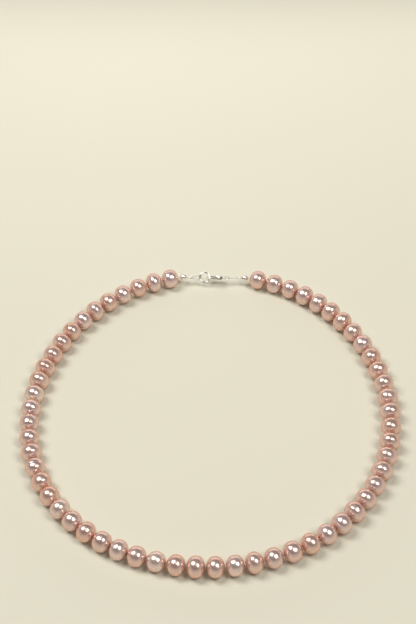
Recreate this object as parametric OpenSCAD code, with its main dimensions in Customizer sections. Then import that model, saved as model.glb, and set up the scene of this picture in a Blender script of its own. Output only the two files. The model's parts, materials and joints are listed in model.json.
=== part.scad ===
// Single-strand pearl necklace, lying closed on a flat surface.
// +Z is up, +Y runs from the front of the loop to the clasp, and the origin is under its middle.
// Pearls are counted from the catch ring, down the -X side, round the front and up the +X side.

/* [Pearls] */
// Average width of a pearl, across its drill hole
pearl_across = 8.2; // [7.6:0.1:8.6]
// Average length of a pearl, along its drill hole
pearl_along = 7.11; // [6.6:0.01:7.3]
// How much the pearls differ in size, as a share
pearl_spread = 0.03; // [0:0.005:0.04]
// Gap between neighbouring pearls, which lets the strand bend
pearl_gap = 0.26; // [0.22:0.02:0.4]
// Diameter of the drill hole
drill_d = 0.8; // [0.6:0.1:1]

/* [Strand] */
// Diameter of the beading wire
wire_d = 0.4; // [0.3:0.05:0.45]
// Turn of the loop at each pearl, in degrees
turn = 5.8; // [5.7:0.02:5.86]
// How much the loop is longer than wide, in degrees of turn
oval = 0.95; // [0:0.05:1.5]
// How much the loop is flatter at the front and full at the sides, in degrees of turn
fullness = 2.1; // [0:0.1:2.5]

/* [Ends] */
// Diameter of the silver bead at each end
bead_d = 3; // [2.6:0.1:3.2]
// Bare wire between the last pearl and its silver bead
bead_gap = 0.85; // [0.7:0.05:1]
// Bare wire between a silver bead and its crimp
crimp_gap = 0.7; // [0.5:0.1:0.9]
// Length of a crimp
crimp_l = 1.2; // [1:0.1:1.4]
// Diameter of a crimp
crimp_d = 1.5; // [1.3:0.1:1.6]
// Length of the wire loop that holds the catch ring
catch_loop_l = 4.35; // [4:0.05:4.6]

/* [Rings] */
// Outer diameter of the catch ring
catch_ring_d = 5; // [4.6:0.1:5.4]
// Thickness of the catch ring
catch_ring_t = 0.75; // [0.6:0.05:0.8]
// Outer diameter of the small ring on the clasp's tail
tail_ring_d = 2.1; // [2.1:0.05:2.3]
// Thickness of the small ring on the clasp's tail
tail_ring_t = 0.45; // [0.35:0.05:0.45]
// Play left between links
play = 0.05; // [0.03:0.01:0.08]

/* [Clasp] */
// Length of the lobster clasp, from its nose to the end of its tail eye
clasp_l = 9.2; // [9:0.1:9.6]
// Thickness of the hook
hook_t = 1.1; // [1:0.05:1.2]
// Radius of the hook's curve
hook_r = 1.45; // [1.35:0.05:1.5]
// Thickness of the clasp's body between its flat sides
body_t = 2; // [1.8:0.1:2.2]
// Largest radius of the clasp's body
body_r = 1.95; // [1.8:0.05:2]
// Thickness of the trigger
trigger_t = 0.8; // [0.7:0.05:0.85]
// Diameter of the trigger's pivot pin
pin_d = 0.6; // [0.5:0.05:0.65]

/* [Hidden] */
// Jointed lengths of strand on each side of the front one
segments = 11;
function two_figures(n) = n < 10 ? str("0", n) : str(n);
function arm_node(piece, side, n) = str(piece, "_", side, "_", two_figures(n));
$fn = 48;

pearl_colour = [0.80, 0.60, 0.55];
silver_colour = [0.86, 0.86, 0.87];
wire_colour = [0.72, 0.72, 0.70];

// The strand: 58 pearls, half of them on each side of the front gap
pearls = 58;
half = pearls / 2;
// Clear space left at each joint between two lengths of wire
joint_slack = 0.04;

// A fixed, uneven rule from -1 to 1, so that no two neighbours are alike
function uneven(k, n) = sin(k * k * 47.3 + k * 83 + n * 151);
function along(k) = pearl_along * (1 + pearl_spread * uneven(k, 1));
function across(k) = pearl_across * (1 + pearl_spread * uneven(k, 2));

// Heading of pearl k's drill hole, and its step along the strand
function round_loop(k) = (k - half + 0.5) * 360 / pearls;
function heading(k) = turn * (k - half + 0.5)
    + oval * sin(2 * round_loop(k)) - fullness * sin(3 * round_loop(k));
function step(k) = (along(k) + pearl_gap) * [cos(heading(k)), sin(heading(k))];

// Places where the strand can bend: bend k lies in the gap before pearl k, counted along the strand
right_bends = [for (k = half, p = [0, 0]; k <= pearls; p = p + step(min(k, pearls - 1)), k = k + 1) p];
left_bends = [for (k = half, p = [0, 0]; k >= 0; k = k - 1, p = p - step(max(k, 0))) p];
function loose_bend(k) = k >= half ? right_bends[k - half] : left_bends[half - k];
function loose_centre(k) = (loose_bend(k) + loose_bend(k + 1)) / 2;

// Half of a pearl's reach along X and along Y
function reach_x(k) = norm([along(k) * cos(heading(k)), across(k) * sin(heading(k))]) / 2;
function reach_y(k) = norm([along(k) * sin(heading(k)), across(k) * cos(heading(k))]) / 2;
low_x = min([for (k = [0:pearls - 1]) loose_centre(k)[0] - reach_x(k)]);
high_x = max([for (k = [0:pearls - 1]) loose_centre(k)[0] + reach_x(k)]);
low_y = min([for (k = [0:pearls - 1]) loose_centre(k)[1] - reach_y(k)]);
high_y = max([for (k = [0:pearls - 1]) loose_centre(k)[1] + reach_y(k)]);
middle = [low_x + high_x, low_y + high_y] / 2;
strand_h = max([for (k = [0:pearls - 1]) across(k)]) / 2;
function bend(k) = let (p = loose_bend(k) - middle) [p[0], p[1], strand_h];
function flat(p) = [p[0], p[1]];

// Segment n of an arm holds three pearls if n is odd and two if it is even
function count(n) = n % 2 == 1 ? 3 : 2;
function before(n) = n == 1 ? 0 : before(n - 1) + count(n - 1);
function first_left(n) = half - 1 - before(n) - count(n);
function first_right(n) = half + 1 + before(n);

// The clasp's line runs straight from one end of the strand to the other
line_l = norm(bend(pearls) - bend(0));
line_angle = atan2(bend(pearls)[1] - bend(0)[1], bend(pearls)[0] - bend(0)[0]);
wire_r = wire_d / 2;
catch_r = (catch_ring_d - catch_ring_t) / 2;
tail_r = (tail_ring_d - tail_ring_t) / 2;
bead_hole_d = 0.7;
// Room round the two wires in a crimp, and half the space between them
crimp_play = 0.05;
wire_split = 0.02;

// The clasp's tail eye: the thickness of its metal, and the radius of its middle line
eye_t = 0.48;
eye_r = 0.64;

// Places along the clasp's line
bead_at = bead_gap - pearl_gap / 2 + bead_d / 2;
crimp_at = bead_at + bead_d / 2 + crimp_gap + crimp_l / 2;
catch_loop_at = crimp_at + crimp_l / 2 + catch_loop_l;
catch_ring_at = catch_loop_at - wire_r - catch_ring_t / 2 - play + catch_r;
nose_at = catch_ring_at + catch_r - catch_ring_t / 2 - play - hook_t;
eye_at = nose_at + clasp_l - eye_t / 2 - eye_r;
tail_ring_at = eye_at + eye_r - eye_t / 2 - tail_ring_t / 2 - play + tail_r;
tail_loop_at = tail_ring_at + tail_r - tail_ring_t / 2 - wire_r - play;

// Radius of each wire loop, at the middle of the wire
catch_loop_r = 1.25;
tail_loop_r = 0.55;

// How far the flat links are turned about the clasp's line
catch_ring_lean = 42;
clasp_lean = 142.5;
tail_ring_lean = clasp_lean - 90;

// The clasp, from its nose along X, with its gate on the +Y side
hook_at = hook_r + hook_t / 2;
body_at = 5.3;
tail_at = clasp_l - eye_t - eye_r - 0.25;
arm_r = hook_t / 2;
taper_start = 0.5;
taper_in = 0.1;
tail_r_end = 0.34;

// The slot that the trigger swings in, open towards +Y
slot_t = trigger_t + 0.1;
slot_floor = -0.4;
slot_from = 3;
slot_l = 4;

// The trigger: its pivot, the disc round it, and its thumb tab
pivot = [5.5, 0.6];
pin_clear = 0.03;
disc_r = 0.85;
thumb = [4.3, 2.35];
thumb_r = 0.34;
spring_wire = 0.16;
spring_play = 0.05;
spring_at = 0.1;
spring_r = pin_d / 2 + spring_play;
pocket_r = spring_r + spring_wire + spring_play;

// One pearl: a flattened round with its drill hole along X, centred on the origin
module pearl(k) {
    rise = 10;
    rotate([0, 90, 0])
        difference() {
            rotate_extrude()
                polygon([
                    for (a = [-90:rise:90]) [across(k) / 2 * cos(a), along(k) / 2 * sin(a)],
                ]);
            cylinder(d = drill_d, h = along(k) + 1, center = true);
        }
}

module pearl_row(first, number) {
    color(pearl_colour)
        for (k = [first:first + number - 1])
            translate((bend(k) + bend(k + 1)) / 2)
                rotate([0, 0, heading(k)])
                    pearl(k);
}

// A length of wire that follows points in the XY plane, with flat ends
module wire_along(points) {
    sides = 10;
    last = len(points) - 1;
    function way(i) = let (run = points[min(i + 1, last)] - points[max(i - 1, 0)]) run / norm(run);
    rings = [
        for (i = [0:last])
            for (s = [0:sides - 1])
                let (a = s * 360 / sides, aside = wire_r * cos(a) * [-way(i)[1], way(i)[0]])
                    [points[i][0] + aside[0], points[i][1] + aside[1], wire_r * sin(a)],
    ];
    walls = [
        for (i = [0:last - 1])
            for (s = [0:sides - 1])
                let (next = (s + 1) % sides)
                    [i * sides + s, (i + 1) * sides + s, (i + 1) * sides + next, i * sides + next],
    ];
    start_cap = [[for (s = [0:sides - 1]) s]];
    end_cap = [[for (s = [sides - 1:-1:0]) last * sides + s]];
    polyhedron(rings, concat(walls, start_cap, end_cap), convexity = 4);
}

// The wire of one segment: straight through each pearl, with a slight bend in the gaps between them
module wire_row(first, number) {
    last = first + number;
    cut_back = joint_slack * [cos(heading(first)), sin(heading(first))];
    cut_short = joint_slack * [cos(heading(last - 1)), sin(heading(last - 1))];
    color(wire_colour)
        translate([0, 0, strand_h])
            wire_along([
                flat(bend(first)) + cut_back,
                for (k = [first + 1:1:last - 1]) flat(bend(k)),
                flat(bend(last)) - cut_short,
            ]);
}

// Places its children on the clasp's line, at a distance from the left end, turned about the line
module on_line(at, lean = 0) {
    translate(bend(0))
        rotate([0, 0, line_angle])
            translate([at, 0, 0])
                rotate([lean, 0, 0])
                    children();
}

// The same, measured from the right end and facing it
module on_line_right(at, lean = 0) {
    translate(bend(pearls))
        rotate([0, 0, line_angle + 180])
            translate([at, 0, 0])
                rotate([lean, 0, 0])
                    children();
}

// An end bead, turned with its hole along X
module silver_bead() {
    color(silver_colour)
        rotate([0, 90, 0])
            rotate_extrude()
                difference() {
                    circle(d = bead_d);
                    translate([-bead_d, -bead_d])
                        square([bead_d + bead_hole_d / 2, 2 * bead_d]);
                }
}

module crimp() {
    color(silver_colour)
        rotate([0, 90, 0])
            difference() {
                cylinder(d = crimp_d, h = crimp_l, center = true);
                cylinder(r = 2 * wire_r + crimp_play, h = crimp_l + 1, center = true);
            }
}

// The end of the beading wire: through the bead and crimp, round in a loop, and back into the crimp
module end_wire(loop_at, loop_r) {
    crimped = crimp_at + crimp_l / 2;
    turn_at = loop_at - loop_r;
    beside = wire_r + wire_split;
    color(wire_colour)
        wire_along([
            [joint_slack, 0],
            [bead_at + bead_d / 2, 0],
            [crimp_at - crimp_l / 2, beside],
            [crimped, beside],
            for (a = [90:-15:-90]) [turn_at + loop_r * cos(a), loop_r * sin(a)],
            [crimped, -beside],
            [crimp_at - crimp_l / 4, -beside],
        ]);
}

module silver_bead_left() { on_line(bead_at) silver_bead(); }
module silver_bead_right() { on_line_right(bead_at) silver_bead(); }
module crimp_left() { on_line(crimp_at) crimp(); }
module crimp_right() { on_line_right(crimp_at) crimp(); }
module wire_loop_left() { on_line(0) end_wire(catch_loop_at, catch_loop_r); }
module wire_loop_right() {
    on_line_right(0, -clasp_lean)
        end_wire(line_l - tail_loop_at, tail_loop_r);
}

module ring(centre_r, thickness) {
    color(silver_colour)
        rotate_extrude()
            translate([centre_r, 0])
                circle(d = thickness);
}

module catch_ring() { on_line(catch_ring_at, catch_ring_lean) ring(catch_r, catch_ring_t); }
module clasp_tail_ring() { on_line(tail_ring_at, tail_ring_lean) ring(tail_r, tail_ring_t); }

// The round-bodied shape of the clasp, before its slot and holes are cut
module clasp_blank() {
    intersection() {
        union() {
            translate([body_at, 0, 0])
                sphere(r = body_r);
            translate([body_at + taper_start, 0, 0])
                rotate([0, 90, 0])
                    cylinder(r1 = body_r - taper_in, r2 = tail_r_end, h = tail_at - body_at - taper_start);
        }
        translate([body_at, 0, 0])
            cube([2 * clasp_l, 3 * body_r, body_t], center = true);
    }
}

module clasp_body() {
    on_line(nose_at, clasp_lean)
        color(silver_colour)
            difference() {
                union() {
                    clasp_blank();
                    translate([hook_at, 0, 0])
                        rotate([0, 0, 80])
                            rotate_extrude(angle = 190)
                                translate([hook_r, 0])
                                    circle(d = hook_t);
                    translate([hook_at, -hook_r, 0])
                        rotate([0, 90, 0])
                            cylinder(r = arm_r, h = body_at - hook_at);
                    translate([eye_at - nose_at, 0, 0])
                        rotate_extrude()
                            translate([eye_r, 0])
                                circle(d = eye_t);
                }
                translate([slot_from, slot_floor, -slot_t / 2])
                    cube([slot_l, 3 * body_r, slot_t]);
                translate(pivot)
                    cylinder(d = pin_d, h = body_t + 1, center = true);
            }
}

// Gate, pivot disc and thumb tab of the trigger, as one flat piece
module trigger_blank() {
    gate_tip = [[2.42, 1.08], [2.42, 1.84]];
    gate_back = [[3.4, 2.0], [3.75, 1.98]];
    neck = [4.85, 1.9];
    gate_inside = [3.4, 1.0];
    linear_extrude(trigger_t, center = true)
        polygon([
            each gate_tip,
            each gate_back,
            for (a = [160:-20:0]) thumb + thumb_r * [cos(a), sin(a)],
            neck,
            for (a = [75:-15:-195]) pivot + disc_r * [cos(a), sin(a)],
            gate_inside,
        ]);
}

// The trigger, with its pin hole and a pocket on one side for the spring
module clasp_trigger() {
    on_line(nose_at, clasp_lean)
        color(silver_colour)
            difference() {
                trigger_blank();
                translate(pivot)
                    cylinder(d = pin_d + 2 * pin_clear, h = 2 * trigger_t, center = true);
                translate(pivot)
                    cylinder(r = pocket_r, h = trigger_t);
            }
}

module clasp_pivot_pin() {
    on_line(nose_at, clasp_lean)
        color(silver_colour)
            translate(pivot)
                cylinder(d = pin_d, h = body_t, center = true);
}

// The spring: a sleeve of the outer size of its two turns round the pin, in the trigger's pocket
module clasp_spring() {
    on_line(nose_at, clasp_lean)
        color(wire_colour)
            translate([pivot[0], pivot[1], spring_at])
                difference() {
                    cylinder(r = spring_r + spring_wire, h = 2 * spring_wire);
                    translate([0, 0, -1])
                        cylinder(r = spring_r, h = 2);
                }
}

pearl_row(half - 1, 2);  // pearls_front
wire_row(half - 1, 2);  // wire_front
for (n = [1:segments]) {
    pearl_row(first_left(n), count(n));
    pearl_row(first_right(n), count(n));
    wire_row(first_left(n), count(n));
    wire_row(first_right(n), count(n));
}
silver_bead_left();
crimp_left();
wire_loop_left();
catch_ring();
silver_bead_right();
crimp_right();
wire_loop_right();
clasp_tail_ring();
clasp_body();
clasp_trigger();
clasp_pivot_pin();
clasp_spring();
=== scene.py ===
import json
import math

import bpy
import numpy as np
from mathutils import Matrix, Vector

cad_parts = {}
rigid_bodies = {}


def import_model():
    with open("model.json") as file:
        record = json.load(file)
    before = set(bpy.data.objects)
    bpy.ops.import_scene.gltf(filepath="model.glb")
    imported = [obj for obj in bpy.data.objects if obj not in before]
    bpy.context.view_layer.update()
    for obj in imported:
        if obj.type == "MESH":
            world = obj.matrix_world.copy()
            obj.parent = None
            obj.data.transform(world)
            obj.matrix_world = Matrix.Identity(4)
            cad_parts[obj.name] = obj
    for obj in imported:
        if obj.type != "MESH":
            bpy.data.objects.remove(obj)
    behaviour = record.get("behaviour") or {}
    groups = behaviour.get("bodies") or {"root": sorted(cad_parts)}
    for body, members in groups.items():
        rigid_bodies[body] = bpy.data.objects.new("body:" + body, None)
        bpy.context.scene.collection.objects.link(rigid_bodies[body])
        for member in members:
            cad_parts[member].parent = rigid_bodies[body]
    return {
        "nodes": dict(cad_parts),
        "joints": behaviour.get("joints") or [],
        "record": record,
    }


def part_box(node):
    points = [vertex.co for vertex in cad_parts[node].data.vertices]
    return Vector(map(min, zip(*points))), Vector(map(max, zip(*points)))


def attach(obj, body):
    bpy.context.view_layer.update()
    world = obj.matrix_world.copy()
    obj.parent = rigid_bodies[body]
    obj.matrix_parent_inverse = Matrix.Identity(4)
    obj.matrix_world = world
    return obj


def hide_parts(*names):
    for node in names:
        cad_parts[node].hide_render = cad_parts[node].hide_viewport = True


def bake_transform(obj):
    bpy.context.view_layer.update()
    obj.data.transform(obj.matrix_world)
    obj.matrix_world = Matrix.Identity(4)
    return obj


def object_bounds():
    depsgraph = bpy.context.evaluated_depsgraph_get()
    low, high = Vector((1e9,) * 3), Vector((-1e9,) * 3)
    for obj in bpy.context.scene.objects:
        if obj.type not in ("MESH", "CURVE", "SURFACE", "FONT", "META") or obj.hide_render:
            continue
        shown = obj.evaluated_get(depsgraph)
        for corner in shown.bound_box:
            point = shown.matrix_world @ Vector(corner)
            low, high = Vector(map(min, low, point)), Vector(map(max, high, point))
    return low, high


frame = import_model()
cad_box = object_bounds()

# ---------------------------------------------------------------- the table top and the light
# The necklace lies closed on a plain cream board covered in smooth paper cloth. Two tall softboxes
# hang over it, one at the left and one nearer the viewer. A low card behind throws a little light
# back, and a dim room fills the rest.
BOARD_SIDE = 8
BOARD_DROP = 0.00002
CREAM = (0.71, 0.69, 0.58, 1)
CREAM_SHADE = (0.68, 0.66, 0.555, 1)
SOFTBOX_DISTANCE = 1.1
CARD_DISTANCE = 0.28
ROOM_STRENGTH = 0.75


class Socket:
    """One output of a material's nodes. Sums written with it add Math nodes."""

    def __init__(self, tree, output=None):
        self.tree = tree
        self.output = output

    def node(self, kind, settings=None, inputs=None, take=0):
        """Adds a node: its settings first, then values or links for its sockets."""
        made = self.tree.nodes.new(kind)
        settings = dict(settings or {})
        stops = settings.pop("stops", None)
        for name, value in settings.items():
            setattr(made, name, value)
        if stops:
            ramp = made.color_ramp.elements
            while len(ramp) < len(stops):
                ramp.new(1)
            for stop, (place, colour) in zip(ramp, stops):
                stop.position = place
                stop.color = colour
        for name, value in (inputs or {}).items():
            if isinstance(value, Socket):
                self.tree.links.new(value.output, made.inputs[name])
            else:
                made.inputs[name].default_value = value
        return Socket(self.tree, made.outputs[take] if len(made.outputs) else None)

    def maths(self, operation, *values):
        """One Math node on these values."""
        inputs = dict(enumerate(values))
        return self.node("ShaderNodeMath", {"operation": operation}, inputs)

    def __add__(self, other):
        return self.maths("ADD", self, other)

    def __radd__(self, other):
        return self.maths("ADD", other, self)

    def __sub__(self, other):
        return self.maths("SUBTRACT", self, other)

    def __rsub__(self, other):
        return self.maths("SUBTRACT", other, self)

    def __mul__(self, other):
        return self.maths("MULTIPLY", self, other)

    def __rmul__(self, other):
        return self.maths("MULTIPLY", other, self)

    def noise(self, scale, detail=3.0, roughness=0.5):
        """Soft noise over this place, from 0 to 1."""
        return self.node(
            "ShaderNodeTexNoise",
            inputs={"Vector": self, "Scale": scale, "Detail": detail, "Roughness": roughness},
        )

    def stops(self, *stops):
        """This value read off a row of colours."""
        return self.node("ShaderNodeValToRGB", {"stops": stops}, {"Fac": self})

    def blend(self, first, second):
        """The first colour where this value is 0, and the second where it is 1."""
        return self.node(
            "ShaderNodeMix", {"data_type": "RGBA"}, {0: self, 6: first, 7: second}, take=2
        )

    def bump(self, strength, distance):
        """A surface whose height is this value."""
        return self.node(
            "ShaderNodeBump", inputs={"Height": self, "Strength": strength, "Distance": distance}
        )


def begin(name):
    """A new material, and a socket with the place on the object, in metres."""
    material = bpy.data.materials.new(name)
    material.use_nodes = True
    material.node_tree.nodes.clear()
    start = Socket(material.node_tree)
    return material, start.node("ShaderNodeTexCoord", take=3)


def surface(place, **inputs):
    """Ends a material with one Principled surface."""
    named = {name.replace("_", " "): value for name, value in inputs.items()}
    shader = place.node("ShaderNodeBsdfPrincipled", inputs=named)
    place.node("ShaderNodeOutputMaterial", inputs={"Surface": shader})


def new_piece(name, points, faces, material):
    """A smooth mesh piece."""
    mesh = bpy.data.meshes.new(name)
    mesh.from_pydata([tuple(p) for p in points], [], [tuple(f) for f in faces])
    mesh.polygons.foreach_set("use_smooth", [True] * len(mesh.polygons))
    mesh.materials.append(material)
    mesh.update()
    piece = bpy.data.objects.new(name, mesh)
    bpy.context.scene.collection.objects.link(piece)
    return piece


board_cloth, place = begin("board_cloth")
weave = place.noise(2600, 4, 0.6)
wander = place.noise(5, 2)
surface(
    place,
    Base_Color=(wander * 0.8 + 0.1).blend(CREAM, CREAM_SHADE),
    Roughness=weave * 0.1 + 0.8,
    Normal=(weave * 0.7 + place.noise(140, 2) * 0.3).bump(0.25, 0.00015),
)
half_side = BOARD_SIDE / 2
board_top = cad_box[0][2] - BOARD_DROP
board = new_piece(
    "board",
    [(x, y, board_top) for x, y in ((-half_side, -half_side), (half_side, -half_side),
                                    (half_side, half_side), (-half_side, half_side))],
    [(0, 1, 2, 3)],
    board_cloth,
)


def softbox(name, direction, width, height, watts, colour, distance=SOFTBOX_DISTANCE):
    """A lamp with a soft flat front that faces the necklace from a direction."""
    light = bpy.data.lights.new(name, "AREA")
    light.shape = "RECTANGLE"
    light.size = width
    light.size_y = height
    light.energy = watts
    light.color = colour
    lamp = bpy.data.objects.new(name, light)
    lamp.location = Vector(direction).normalized() * distance
    lamp.rotation_euler = (-lamp.location).to_track_quat("-Z", "Y").to_euler()
    lamp.visible_camera = False
    bpy.context.scene.collection.objects.link(lamp)


softbox("softbox_left", (-0.42, 0.10, 0.90), 0.42, 0.60, 7.6, (1, 0.99, 0.95))
softbox("softbox_near", (0.40, -0.24, 0.87), 0.36, 0.54, 5.6, (1, 0.985, 0.93))
softbox("card_behind", (0, 0.92, 0.40), 0.42, 0.16, 0.14, (1, 0.96, 0.90), CARD_DISTANCE)

room = bpy.data.worlds.new("room")
room.use_nodes = True
bpy.context.scene.world = room
room.node_tree.nodes.clear()
sky = Socket(room.node_tree)
facing = sky.node("ShaderNodeTexCoord", take=0)
upwards = sky.node("ShaderNodeSeparateXYZ", inputs={0: facing}, take=2)
room_light = upwards.stops(
    (0.0, (0.80, 0.74, 0.62, 1)),
    (0.35, (0.66, 0.58, 0.50, 1)),
    (0.52, (0.12, 0.095, 0.09, 1)),
    (1.0, (0.07, 0.06, 0.065, 1)),
)
glow = sky.node("ShaderNodeBackground", inputs={"Color": room_light, "Strength": ROOM_STRENGTH})
sky.node("ShaderNodeOutputWorld", inputs={"Surface": glow})

# ---------------------------------------------------------------- the camera
# The necklace is seen from the front and above, with the clasp at the far side, through a long
# lens. The camera is turned slightly to one side and leans a little.
AIM = Vector((-0.00211, 0.05306, 0.00422))
CAMERA_DISTANCE = 0.58515
CAMERA_DEPRESSION = math.radians(48.04)
CAMERA_SWING = math.radians(3.38)
CAMERA_ROLL = math.radians(-2.45)
LENS_MM = 79.1
NEAREST_SEEN = 0.01

camera = bpy.data.objects.new("camera", bpy.data.cameras.new("camera"))
camera.data.lens = LENS_MM
camera.data.clip_start = NEAREST_SEEN
looking = Vector((
    -math.sin(CAMERA_SWING) * math.cos(CAMERA_DEPRESSION),
    math.cos(CAMERA_SWING) * math.cos(CAMERA_DEPRESSION),
    -math.sin(CAMERA_DEPRESSION),
))
level = Vector((math.cos(CAMERA_SWING), math.sin(CAMERA_SWING), 0))
turned = (
    Matrix((level, level.cross(looking), -looking)).transposed()
    @ Matrix.Rotation(CAMERA_ROLL, 3, "Z")
)
camera.matrix_world = Matrix.Translation(AIM - looking * CAMERA_DISTANCE) @ turned.to_4x4()
bpy.context.scene.collection.objects.link(camera)
bpy.context.scene.camera = camera
bpy.context.scene.view_settings.view_transform = "Standard"

# ---------------------------------------------------------------- the pearls
# 58 freshwater pearls in a natural pink to mauve shade, slightly flattened along the drill hole
# and none quite round, drilled through and polished. Thin nacre layers give each a soft gloss.
PEARL_RINGS = 30
PEARL_SIDES = 48
HOLE_R = 0.00040
HOLE_LIP = 0.00007
BLUSH_SPREAD = 0.18
pearl_dice = np.random.default_rng(58)


def corners(node):
    """A CAD node's corners, and its triangles as rows of corner numbers."""
    mesh = frame["nodes"][node].data
    points = np.array([v.co for v in mesh.vertices], float)
    faces = [list(f.vertices) for f in mesh.polygons]
    return points, faces


def loose_parts(node):
    """The corners of each separate solid of a CAD node."""
    points, faces = corners(node)
    _, same = np.unique(points.round(7), axis=0, return_inverse=True)
    same = same.reshape(-1)
    group = np.arange(same.max() + 1)

    def top(i):
        while group[i] != i:
            group[i] = group[group[i]]
            i = group[i]
        return i

    for face in faces:
        first = top(same[face[0]])
        for corner in face[1:]:
            group[top(same[corner])] = first
    labels = np.array([top(i) for i in same])
    return [points[labels == label] for label in np.unique(labels)]


def skin(rows, sides, closed):
    """Faces over rows of points that go round a piece, joined into a loop or with flat ends."""
    faces = [
        (i * sides + s, i * sides + (s + 1) % sides,
         (i + 1) % rows * sides + (s + 1) % sides, (i + 1) % rows * sides + s)
        for i in range(rows if closed else rows - 1)
        for s in range(sides)
    ]
    if not closed:
        faces.append(tuple(reversed(range(sides))))
        faces.append(tuple(range((rows - 1) * sides, rows * sides)))
    return faces


def lathe(profile, sides, waviness=None):
    """Points and faces of an outline of (x, radius) points turned round X, closed on itself."""
    profile = np.array(profile, float)
    angles = np.arange(sides) * 2 * math.pi / sides
    points = []
    for x, r in profile:
        radii = r * (waviness(x, angles) if waviness else np.ones(sides))
        turned_row = [np.full(sides, x), radii * np.cos(angles), radii * np.sin(angles)]
        points.append(np.stack(turned_row, 1))
    return np.concatenate(points), skin(len(profile), sides, closed=True)


def upright_frame(axis):
    """Three directions: the axis, one across it that is level, and the third."""
    axis = Vector(axis).normalized()
    across = Vector((0, 0, 1)).cross(axis).normalized()
    return np.array([axis, across, axis.cross(across)])


def pearl_mesh(length, width, dice):
    """An off-round pearl: an egg-shaped body with low waves and faint rings, and lipped holes."""
    egg = dice.uniform(-0.035, 0.035)
    shoulder = dice.uniform(0.01, 0.065)
    start = math.asin(2 * HOLE_R / width)
    phases = dice.uniform(0, 2 * math.pi, 4)
    oval, three, slope = dice.uniform(0.004, 0.016), dice.uniform(0, 0.007), dice.uniform(0, 0.02)
    rings = [
        (dice.uniform(-0.55, 0.55), dice.uniform(0.035, 0.07), dice.uniform(0.006, 0.02))
        for _ in range(dice.integers(0, 3))
    ]
    outside = []
    for i in range(PEARL_RINGS + 1):
        turn = start + (math.pi - 2 * start) * i / PEARL_RINGS
        along = -math.cos(turn)
        fuller = 1 + shoulder * math.sin(2 * turn) ** 2
        radius = math.sin(turn) * fuller * (1 + egg * along * math.sin(turn))
        for middle, breadth, depth in rings:
            radius *= 1 - depth * math.exp(-(((along - middle) / breadth) ** 2))
        outside.append((along * length / 2, max(HOLE_R, radius * width / 2)))
    tip = length / 2 * math.cos(start)
    outside[0] = (-tip + HOLE_LIP * 0.4, HOLE_R + HOLE_LIP * 0.6)
    outside[-1] = (tip - HOLE_LIP * 0.4, HOLE_R + HOLE_LIP * 0.6)
    inside = [(tip - HOLE_LIP * 1.6, HOLE_R), (0, HOLE_R), (-tip + HOLE_LIP * 1.6, HOLE_R)]

    def waves(x, angles):
        middle = max(0, 1 - (2 * x / length) ** 2)
        wave = (
            oval * (np.cos(2 * angles + phases[0]) - 1)
            + three * (np.cos(3 * angles + phases[1]) - 1)
            + slope * x / length * np.cos(angles + phases[2])
        )
        return 1 + wave * middle

    points, faces = lathe(outside + inside, PEARL_SIDES, waves)
    over = max(1, 2 * np.abs(points[:, 1:]).max() / width)
    points[:, 1:] /= over
    return points, faces


nacre, place = begin("nacre")
blush = place.node("ShaderNodeAttribute", {"attribute_name": "blush"}, take=2)
cloud = place.noise(150, 3, 0.55)
shade = blush * 0.75 + cloud * 0.5 - 0.12
ripple = place.noise(1400, 2)
fine = place.noise(9000, 2)
surface(
    place,
    Base_Color=shade.stops(
        (0.0, (0.79, 0.63, 0.60, 1)),
        (0.45, (0.81, 0.73, 0.75, 1)),
        (0.75, (0.79, 0.76, 0.84, 1)),
        (1.0, (0.87, 0.88, 0.93, 1)),
    ),
    Metallic=0.72,
    Roughness=cloud * 0.10 + 0.20,
    IOR=1.6,
    Specular_Tint=(0.92, 0.42, 0.24, 1),
    Coat_Weight=fine * 0.2 + 0.75,
    Coat_Roughness=0.15,
    Coat_IOR=1.5,
    Coat_Tint=(0.95, 0.75, 0.63, 1),
    Sheen_Weight=0.22,
    Sheen_Roughness=0.35,
    Sheen_Tint=(1.0, 0.42, 0.24, 1),
    Normal=(ripple * 0.7 + fine * 0.3).bump(0.12, 0.00012),
)

strand_bodies = [b for b in frame["record"]["behaviour"]["bodies"] if b.startswith("strand_")]
joints = {joint["name"]: joint for joint in frame["joints"]}
found = []
for body in strand_bodies:
    node = body.replace("strand", "pearls")
    for solid in loose_parts(node):
        middle = (solid.min(0) + solid.max(0)) / 2
        found.append((math.atan2(middle[0], -middle[1]), middle, solid, body, node))
found.sort(key=lambda pearl: pearl[0])
middles = [pearl[1] for pearl in found]
first_end = np.array(joints["left_bend_12_upright"]["pos_m"])
last_end = np.array(joints["right_bend_12_upright"]["pos_m"])
before = [2 * first_end - middles[0]] + middles[:-1]
after = middles[1:] + [2 * last_end - middles[-1]]
pearl_ends = []
for number, (_, middle, solid, body, node) in enumerate(found, 1):
    way = upright_frame(after[number - 1] - before[number - 1])
    local = (solid - middle) @ way.T
    length, width = np.ptp(local[:, 0]), np.ptp(local[:, 2])
    points, faces = pearl_mesh(length, width, pearl_dice)
    pearl = new_piece(f"pearl_{number:02d}", middle + points @ way, faces, nacre)
    tint = pearl_dice.uniform(0.15, 0.95)
    lean = pearl_dice.normal(size=3)
    lean /= np.linalg.norm(lean)
    values = tint + BLUSH_SPREAD * (points @ lean) / (width / 2)
    attribute = pearl.data.attributes.new("blush", "FLOAT", "POINT")
    attribute.data.foreach_set("value", values.astype(np.float32))
    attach(pearl, body)
    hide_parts(node)
    pearl_ends.append((middle - way[0] * length / 2, middle + way[0] * length / 2, body))

# ---------------------------------------------------------------- the beading wire
# One length of steel beading wire, six strands laid round a core under a thin clear coat, runs
# through every pearl. It isn't knotted, so it only shows in the gaps, where the strand bends.
WIRE_R = 0.0002
STRANDS = 6
LAY_LENGTH = 0.0016
STRAND_DEPTH = 0.16
BEND_REACH = 0.00035
BEAD_REACH = BEND_REACH * 2.5
TIP_TO_BEND = 0.0008
WIRE_STEP = 0.00016
BEND_STEP = 0.00005

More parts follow.
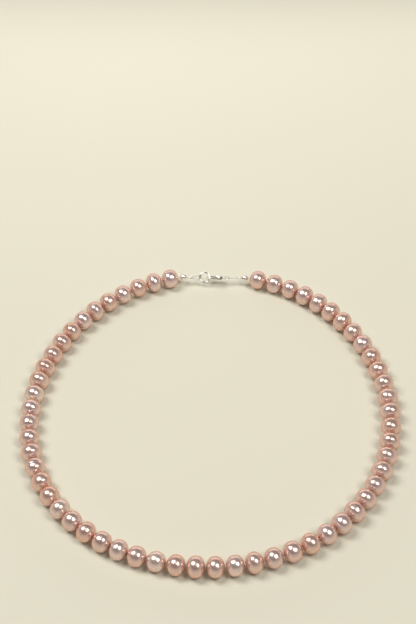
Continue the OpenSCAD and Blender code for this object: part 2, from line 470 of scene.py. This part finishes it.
steel, place = begin("beading_steel")
grain = place.noise(5200, 3)
surface(
    place,
    Base_Color=grain.stops((0.2, (0.52, 0.51, 0.49, 1)), (0.8, (0.72, 0.71, 0.69, 1))),
    Metallic=1.0,
    Roughness=grain * 0.2 + 0.22,
    Coat_Weight=0.4,
    Coat_Roughness=0.15,
    Normal=grain.bump(0.1, 0.00002),
)


def cable(name, route, radius=WIRE_R, step=WIRE_STEP, lobes=STRANDS, depth=STRAND_DEPTH):
    """A twisted cable along a route of points, with flat closed ends."""
    route = np.array(route, float)
    gone = np.concatenate([[0], np.cumsum(np.linalg.norm(np.diff(route, axis=0), axis=1))])
    count = max(3, int(round(gone[-1] / step)) + 1)
    at = np.linspace(0, gone[-1], count)
    path = np.stack([np.interp(at, gone, route[:, i]) for i in range(3)], 1)
    ways = np.gradient(path, axis=0)
    ways /= np.linalg.norm(ways, axis=1)[:, None]
    sides = lobes * 4
    angles = np.arange(sides) * 2 * math.pi / sides
    aside = np.cross(ways[0], [0, 0, 1])
    if np.linalg.norm(aside) < 0.1:
        aside = np.cross(ways[0], [0, 1, 0])
    points = []
    for i in range(count):
        aside = aside - ways[i] * (aside @ ways[i])
        aside /= np.linalg.norm(aside)
        other = np.cross(ways[i], aside)
        radii = radius * (1 - depth * (0.5 - 0.5 * np.cos(lobes * angles)))
        spin = angles + 2 * math.pi * at[i] / LAY_LENGTH
        points.append(
            path[i] + np.outer(radii * np.cos(spin), aside) + np.outer(radii * np.sin(spin), other)
        )
    return new_piece(name, np.concatenate(points), skin(count, sides, closed=False), steel)


def towards(start, end, distance):
    """The point at a distance from start on the way to end."""
    way = np.array(end, float) - np.array(start, float)
    return np.array(start, float) + way / np.linalg.norm(way) * distance


bends = [joint for joint in frame["joints"] if "_bend_" in joint["name"]]
for body in strand_bodies:
    ends = [e for e in pearl_ends if e[2] == body]
    route = [ends[0][0]]
    for (_, leaving, _), (entering, _, _) in zip(ends, ends[1:]):
        route.append((leaving + entering) / 2)
    route.append(ends[-1][1])
    for end, inward in ((0, 1), (-1, -2)):
        gaps = [np.linalg.norm(np.array(joint["pos_m"]) - route[end]) for joint in bends]
        route[end] = towards(bends[int(np.argmin(gaps))]["pos_m"], route[inward], BEND_REACH)
    wire = cable(body.replace("strand", "wire") + "_cable", route)
    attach(wire, body)
    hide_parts(body.replace("strand", "wire"))

for joint in bends:
    pivot = np.array(joint["pos_m"])
    nearest = {}
    for start, end, body in pearl_ends:
        for tip, heart in ((start, end), (end, start)):
            distance = np.linalg.norm(tip - pivot)
            if distance < nearest.get(body, (TIP_TO_BEND,))[0]:
                nearest[body] = (distance, heart)
    first, second = joint["parent"], joint["child"]
    hidden_first = towards(pivot, nearest[first][1], BEND_REACH)
    if second in nearest:
        hidden_second = towards(pivot, nearest[second][1], BEND_REACH)
    else:
        low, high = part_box(second.replace("end", "silver_bead"))
        hidden_second = towards(pivot, (low + high) / 2, BEAD_REACH)
    bend = cable(joint["name"] + "_wire", [hidden_first, pivot, hidden_second], step=BEND_STEP)
    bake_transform(bend)

# ---------------------------------------------------------------- the silver end beads
# A 3 mm hollow-drilled bead of polished sterling silver closes each end of the row. It is a
# seamless drawn bead with softly rounded holes, and it carries fine polishing marks.
BEAD_HOLE_R = 0.00035
BEAD_LIP = 0.00008
BEAD_RINGS = 32
BEAD_SIDES = 56

silver, place = begin("polished_silver")
marks = place.node(
    "ShaderNodeTexNoise", inputs={"Vector": place, "Scale": 3800, "Detail": 5, "Distortion": 1.5}
)
patina = place.noise(520, 3)
surface(
    place,
    Base_Color=patina.stops((0.35, (0.80, 0.78, 0.74, 1)), (0.6, (0.93, 0.92, 0.90, 1))),
    Metallic=1.0,
    Roughness=marks * 0.10 + patina * 0.05 + 0.05,
    Normal=(marks * 0.5 + place.noise(900, 2) * 0.5).bump(0.06, 0.00003),
)

bead_centres = {}
for side in ("left", "right"):
    low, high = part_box(f"silver_bead_{side}")
    bead_centres[side] = np.array((low + high) / 2)
line = bead_centres["right"] - bead_centres["left"]
line /= np.linalg.norm(line)
line_way = upright_frame(line)


def reach(node, direction, start):
    """The nearest and furthest a CAD node reaches along a direction from a point."""
    along = (corners(node)[0] - start) @ direction
    return along.min(), along.max()


for side in ("left", "right"):
    near, far = reach(f"silver_bead_{side}", line_way[2], bead_centres[side])
    radius = (far - near) / 2
    start = math.asin((BEAD_HOLE_R + BEAD_LIP) / radius)
    tip = radius * math.cos(start)
    outline = []
    for i in range(BEAD_RINGS + 1):
        turn = start + (math.pi - 2 * start) * i / BEAD_RINGS
        outline.append((-radius * math.cos(turn), radius * math.sin(turn)))
    lip = []
    for turn in (30, 60, 90):
        angle = math.radians(turn)
        inwards = BEAD_LIP * (1 - math.cos(angle))
        lip.append((tip - inwards, BEAD_HOLE_R + BEAD_LIP * (1 - math.sin(angle))))
    outline += lip + [(0, BEAD_HOLE_R)] + [(-x, r) for x, r in reversed(lip)]
    points, faces = lathe(outline, BEAD_SIDES)
    bead = new_piece(f"end_bead_{side}", bead_centres[side] + points @ line_way, faces, silver)
    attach(bead, f"end_{side}")
    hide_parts(f"silver_bead_{side}")

# ---------------------------------------------------------------- the crimps
# A short silver tube at each end, squeezed flat in its middle with crimping pliers, grips the
# wire where it comes back from its loop. The squeeze leaves a waist and two rounded ends.
CRIMP_WALL = 0.00012
CRIMP_RINGS = 25
CRIMP_SIDES = 40
CRIMP_ROUND = 0.00008
ROUND_FROM = 5 / 6
CRIMP_PINCH = 0.30
PINCH_BREADTH = 0.55
PINCH_NARROWS = 0.06

for side in ("left", "right"):
    low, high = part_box(f"crimp_{side}")
    middle = np.array((low + high) / 2)
    near, far = reach(f"crimp_{side}", line_way[0], middle)
    below, above = reach(f"crimp_{side}", line_way[2], middle)
    half, outer = (far - near) / 2, (above - below) / 2
    inner = outer - CRIMP_WALL
    shares = np.linspace(-1, 1, CRIMP_RINGS)
    rounding = CRIMP_ROUND * np.maximum(0, (np.abs(shares) - ROUND_FROM) / (1 - ROUND_FROM))
    outline = list(zip(half * shares, outer - rounding))
    outline += [(half * share, inner) for share in reversed(shares)]
    points, faces = lathe(outline, CRIMP_SIDES)
    pinch = 1 - CRIMP_PINCH * np.exp(-((points[:, 0] / (half * PINCH_BREADTH)) ** 2))
    points[:, 2] *= pinch
    points[:, 1] *= 1 - PINCH_NARROWS * (1 - pinch) / CRIMP_PINCH
    crimp = new_piece(f"crimp_tube_{side}", middle + points @ line_way, faces, silver)
    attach(crimp, f"end_{side}")
    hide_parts(f"crimp_{side}")

# ---------------------------------------------------------------- the wire loops
# Each end of the wire goes through its bead and crimp, round the ring in a small loop, and back
# into the crimp. The loop is drawn out to a point at the crimp, as the wire springs.
LOOP_STEP = 0.00010
WIRE_BESIDE = 0.00022
LEG_STEPS = 5
LEG_STRAIGHT = 0.65

for side in ("left", "right"):
    out = line if side == "left" else -line
    pivot = np.array(joints[f"{side}_bend_12_upright"]["pos_m"])
    points, _ = corners(f"wire_loop_{side}")
    sideways = np.linalg.svd(points - points.mean(0), full_matrices=False)[2][1]
    sideways -= out * (sideways @ out)
    sideways /= np.linalg.norm(sideways)
    _, loop_end = reach(f"wire_loop_{side}", out, pivot)
    below, above = reach(f"wire_loop_{side}", sideways, pivot)
    loop_r = (above - below) / 2 - WIRE_R
    turn_at = loop_end - WIRE_R - loop_r
    near, far = reach(f"crimp_{side}", out, pivot)
    _, bead_far = reach(f"silver_bead_{side}", out, pivot)
    leg = []
    for share in (i / LEG_STEPS for i in range(1, LEG_STEPS)):
        ease = share * share * (3 - 2 * share)
        widening = LEG_STRAIGHT * share + (1 - LEG_STRAIGHT) * ease
        leg.append((far + (turn_at - far) * share, WIRE_BESIDE + (loop_r - WIRE_BESIDE) * widening))
    shape = [(BEAD_REACH, 0), (bead_far, 0), (near, WIRE_BESIDE), (far, WIRE_BESIDE)] + leg
    for turn in range(90, -91, -10):
        angle = math.radians(turn)
        shape.append((turn_at + loop_r * math.cos(angle), loop_r * math.sin(angle)))
    shape += [(x, -y) for x, y in reversed(leg)]
    shape += [(far, -WIRE_BESIDE), ((near + far) / 2, -WIRE_BESIDE)]
    route = [pivot + out * x + sideways * y for x, y in shape]
    loop = cable(f"loop_wire_{side}", route, step=LOOP_STEP)
    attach(loop, f"end_{side}")
    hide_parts(f"wire_loop_{side}")

# ---------------------------------------------------------------- the two rings
# The catch ring is a 5 mm ring of round silver wire with its ends soldered. The small ring on the
# clasp is an open jump ring, cut with a saw and closed with pliers, so its cut still shows.
RING_STEPS = 96
RING_SIDES = 20
SOLDER_SPREAD = 0.10
SOLDER_SWELL = 0.07
RING_SEAM = math.radians(35)
SAW_CUT = 0.00004


def ring_mesh(name, node, joint, cut):
    """A ring of round wire where the CAD ring is, soldered or with an open cut."""
    points, _ = corners(node)
    middle = np.array(joints[joint]["pos_m"])
    square = np.array(joints[joint]["axis"], float)
    square /= np.linalg.norm(square)
    wire_r = np.ptp((points - middle) @ square) / 2
    outer = np.linalg.norm(points - middle, axis=1).max()
    centre_r = outer - wire_r
    first = np.cross(square, line)
    first /= np.linalg.norm(first)
    second = np.cross(square, first)
    steps = RING_STEPS + (1 if cut else 0)
    opening = cut / centre_r
    around = np.arange(RING_SIDES) * 2 * math.pi / RING_SIDES
    rows = []
    for i in range(steps):
        gone = opening / 2 + (2 * math.pi - opening) * i / RING_STEPS
        off = (gone + math.pi) % (2 * math.pi) - math.pi
        swell = 0 if cut else SOLDER_SWELL * math.exp(-((off / SOLDER_SPREAD) ** 2))
        out = first * math.cos(RING_SEAM + gone) + second * math.sin(RING_SEAM + gone)
        radii = wire_r * (1 + swell * (0.5 * np.cos(2 * around) - 0.5))
        rows.append(
            middle + out * centre_r
            + np.outer(radii * np.cos(around), out) - np.outer(radii * np.sin(around), square)
        )
    return new_piece(name, np.concatenate(rows), skin(steps, RING_SIDES, closed=not cut), silver)


catch = ring_mesh("soldered_ring", "catch_ring", "catch_ring_turn", 0)
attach(catch, "catch_ring")
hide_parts("catch_ring")

tail = ring_mesh("jump_ring", "clasp_tail_ring", "clasp_tail_ring_turn", SAW_CUT)
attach(tail, "tail_ring")
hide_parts("clasp_tail_ring")

# ---------------------------------------------------------------- the clasp
# A 9 mm lobster clasp of cast and tumbled silver. The body is one casting with its hook and tail
# eye; the trigger, the gate with a thumb tab, is stamped from sheet and turns on a riveted pin.
CAST_VOXEL = 0.00006
CAST_SOFTEN = 5
STAMPED_VOXEL = 0.00004
STAMPED_SOFTEN = 3
SAME_CORNER = 1e-6


def cast(name, node, voxel, soften):
    """A piece with the CAD node's shape, its edges worn round as by tumbling."""
    points, faces = corners(node)
    piece = new_piece(name, points, faces, silver)
    weld = piece.modifiers.new("weld", "WELD")
    weld.merge_threshold = SAME_CORNER
    remesh = piece.modifiers.new("remesh", "REMESH")
    remesh.mode = "VOXEL"
    remesh.voxel_size = voxel
    smooth = piece.modifiers.new("smooth", "SMOOTH")
    smooth.factor = 0.5
    smooth.iterations = soften
    worn = piece.evaluated_get(bpy.context.evaluated_depsgraph_get())
    done = bpy.data.meshes.new_from_object(worn)
    piece.modifiers.clear()
    piece.data = done
    done.polygons.foreach_set("use_smooth", [True] * len(done.polygons))
    done.materials.clear()
    done.materials.append(silver)
    return piece


body = cast("clasp_casting", "clasp_body", CAST_VOXEL, CAST_SOFTEN)
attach(body, "clasp")
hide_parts("clasp_body")

trigger = cast("trigger_gate", "clasp_trigger", STAMPED_VOXEL, STAMPED_SOFTEN)
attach(trigger, "trigger")
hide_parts("clasp_trigger")

# ---------------------------------------------------------------- the pin
# The trigger turns on a short rod of silver pushed through both cheeks of the clasp. Its ends are
# spread and rounded by riveting, and so it can't slide out.
PIN_TIP_R = 0.00001
PIN_SIDES = 28

pin_points, _ = corners("clasp_pivot_pin")
pin_middle = (pin_points.min(0) + pin_points.max(0)) / 2
pin_axis = np.array(joints["clasp_trigger_press"]["axis"], float)
pin_axis /= np.linalg.norm(pin_axis)
pin_way = upright_frame(pin_axis)
pin_half = np.ptp((pin_points - pin_middle) @ pin_axis) / 2
pin_r = np.linalg.norm(np.cross(pin_points - pin_middle, pin_axis), axis=1).max()
dome = [(pin_half, PIN_TIP_R), (pin_half * 0.985, pin_r * 0.6), (pin_half * 0.93, pin_r * 0.93),
        (pin_half * 0.88, pin_r)]
outline = [(-x, r) for x, r in dome] + list(reversed(dome))
points, faces = lathe(outline, PIN_SIDES)
pin = new_piece("rivet_pin", pin_middle + points @ pin_way, faces, silver)
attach(pin, "clasp")
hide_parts("clasp_pivot_pin")

# ---------------------------------------------------------------- the gate spring
# Two close turns of hard round steel wire lie round the pin, inside the clasp. They are wound up a
# little when the trigger is pressed, and push the gate shut again.
SPRING_WIRE_R = 0.00007
SPRING_TURNS = 2
COIL_STEPS = 40
SPRING_STEP = 0.00006

spring_points = corners("clasp_spring")[0] - pin_middle
spring_low, spring_high = (spring_points @ pin_axis).min(), (spring_points @ pin_axis).max()
coil_r = np.linalg.norm(np.cross(spring_points, pin_axis), axis=1).max() - SPRING_WIRE_R
rise = spring_high - spring_low - 2 * SPRING_WIRE_R
route = []
for i in range(COIL_STEPS + 1):
    turn = 2 * math.pi * SPRING_TURNS * i / COIL_STEPS
    along = spring_low + SPRING_WIRE_R + rise * i / COIL_STEPS
    route.append(
        pin_middle + pin_axis * along
        + pin_way[1] * coil_r * math.cos(turn) + pin_way[2] * coil_r * math.sin(turn)
    )
spring = cable("gate_spring", route, SPRING_WIRE_R, SPRING_STEP, lobes=3, depth=0)
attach(spring, "clasp")
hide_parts("clasp_spring")
